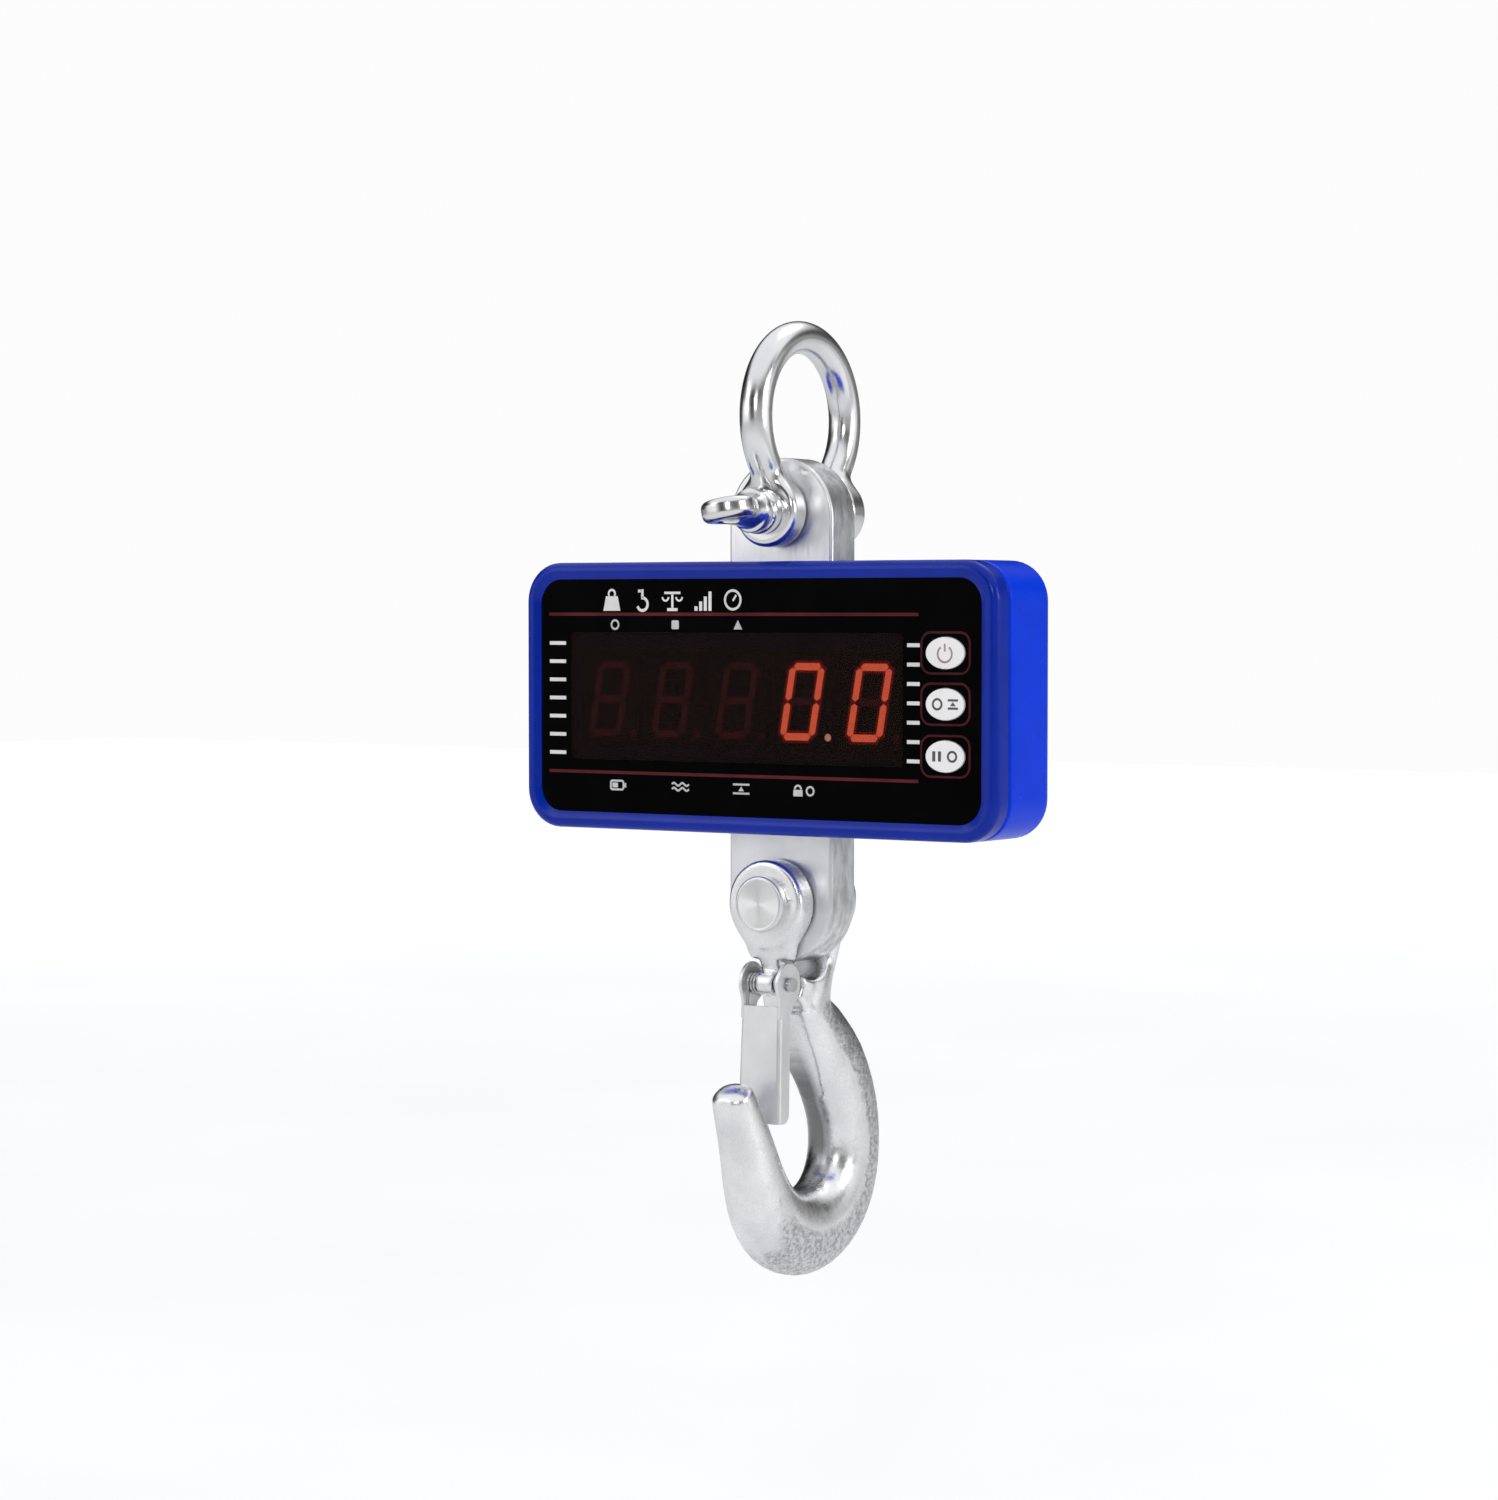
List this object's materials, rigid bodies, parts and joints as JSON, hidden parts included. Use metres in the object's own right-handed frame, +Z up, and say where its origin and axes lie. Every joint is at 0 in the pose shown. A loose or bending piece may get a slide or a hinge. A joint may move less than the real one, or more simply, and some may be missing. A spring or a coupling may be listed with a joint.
{
  "type": "hanging crane scale",
  "caption": "Hanging digital crane scale: bow shackle on top, flat load cell through a boxed display housing with keys, and a clevis hook with a sprung latch below.",
  "frame": {"origin": "inner crown of the shackle bow, the point it hangs from", "axes": "+Z up towards the bow, -Y out of the display face, +X towards the keys, the display's right-hand side"},
  "size_m": [0.228, 0.1126, 0.3909],
  "materials": {
    "plated_steel": "polished plating",
    "zinc_plate": "zinc plated, fine grain",
    "zinc_forging": "zinc plated forging",
    "latch_sheet": "zinc plated sheet",
    "hardware_steel": "plain",
    "blue_paint": "glossy",
    "panel_black": "glossy",
    "filter_red": "glossy, dark red",
    "led_body": "matte",
    "led_lens": "clear tinted",
    "board_green": "solder mask",
    "key_white": "satin",
    "seal_rubber": "matte",
    "dark_plastic": "matte",
    "cell_wrap": "shrink sleeve"
  },
  "bodies": {
    "bow": {"shackle_bow": "plated_steel"},
    "shackle_pin": {"shackle_pin": "plated_steel"},
    "scale_body": {"load_cell": "zinc_plate", "gauge_covers": "hardware_steel", "cell_screws": "hardware_steel", "cell_spacer": "dark_plastic", "front_frame": "blue_paint", "rear_case": "blue_paint", "case_seal": "seal_rubber", "case_screws": "hardware_steel", "top_seal": "seal_rubber", "bottom_seal": "seal_rubber", "front_panel": "panel_black", "panel_gasket": "seal_rubber", "display_filter": "filter_red", "display_board": "board_green", "led_digit_1": "led_body", "led_digit_2": "led_body", "led_digit_3": "led_body", "led_digit_4": "led_body", "led_digit_5": "led_body", "indicator_leds": "led_lens", "key_switches": "dark_plastic", "display_board_screws": "hardware_steel", "main_board": "board_green", "main_board_screws": "hardware_steel", "sensor_cable": "seal_rubber", "battery_cells": "cell_wrap", "battery_holder": "dark_plastic", "holder_screws": "hardware_steel", "battery_lead": "seal_rubber", "charging_socket": "dark_plastic", "socket_nut": "hardware_steel"},
    "power_key": {"power_key": "key_white"},
    "zero_key": {"zero_key": "key_white"},
    "hold_key": {"hold_key": "key_white"},
    "hook": {"hook": "zinc_forging", "hook_pin": "plated_steel", "pin_washer": "hardware_steel", "split_pin": "hardware_steel", "latch_rivet": "hardware_steel", "latch_spring": "hardware_steel"},
    "latch": {"latch": "latch_sheet"}
  },
  "joints": [
    {"name": "pin_turn", "type": "hinge", "parent": "bow", "child": "shackle_pin", "pos_m": [0, 0, -0.0647], "axis": [0, 1, 0], "range_deg": [0, 180]},
    {"name": "shackle_swing", "type": "hinge", "parent": "bow", "child": "scale_body", "pos_m": [0, 0, -0.0647], "axis": [0, 1, 0], "range_deg": [-90, 90]},
    {"name": "hook_swing", "type": "hinge", "parent": "scale_body", "child": "hook", "pos_m": [0, -0.0065, -0.2233], "axis": [0, 1, 0], "range_deg": [-90, 90]},
    {"name": "latch_hinge", "type": "hinge", "parent": "hook", "child": "latch", "pos_m": [0, -0.023, -0.256], "axis": [1, 0, 0], "range_deg": [0, 34], "stiffness_Nm_per_rad": 0.08, "springref_deg": -34.38, "deforming": ["latch_spring"]},
    {"name": "power_key_press", "type": "slide", "parent": "scale_body", "child": "power_key", "axis": [0, 1, 0], "range_m": [0, 0.0008], "stiffness_N_per_m": 1500, "springref_m": -0.0006},
    {"name": "zero_key_press", "type": "slide", "parent": "scale_body", "child": "zero_key", "axis": [0, 1, 0], "range_m": [0, 0.0008], "stiffness_N_per_m": 1500, "springref_m": -0.0006},
    {"name": "hold_key_press", "type": "slide", "parent": "scale_body", "child": "hold_key", "axis": [0, 1, 0], "range_m": [0, 0.0008], "stiffness_N_per_m": 1500, "springref_m": -0.0006}
  ]
}
